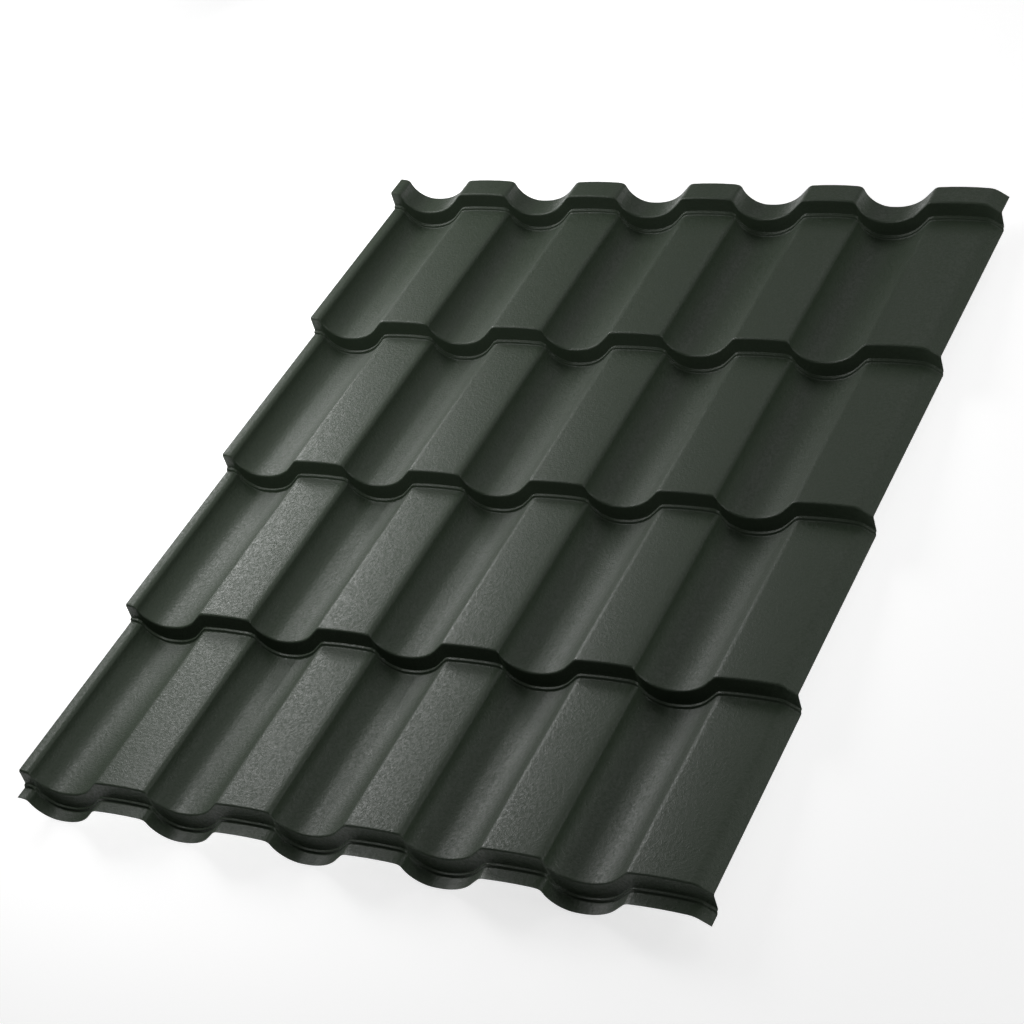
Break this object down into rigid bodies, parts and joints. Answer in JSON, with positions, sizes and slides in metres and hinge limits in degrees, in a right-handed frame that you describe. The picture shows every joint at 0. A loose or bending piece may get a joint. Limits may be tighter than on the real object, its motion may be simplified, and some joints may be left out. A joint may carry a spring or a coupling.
{
  "type": "tile effect metal roofing sheet",
  "caption": "Coated steel roofing sheet, roll formed into waves and stamped with steps so that it looks like courses of tiles.",
  "frame": {"origin": "middle of the sheet's outline, on the floor under the lowest hollows", "axes": "+X across the sheet towards the lip, +Y up the roof towards the top cut edge, +Z out of the face side"},
  "size_m": [1.195, 1.4752, 0.0795],
  "materials": {
    "coated_steel": "matt dark green textured coating"
  },
  "bodies": {
    "root": {"tile_effect_sheet": "coated_steel"}
  },
  "joints": []
}
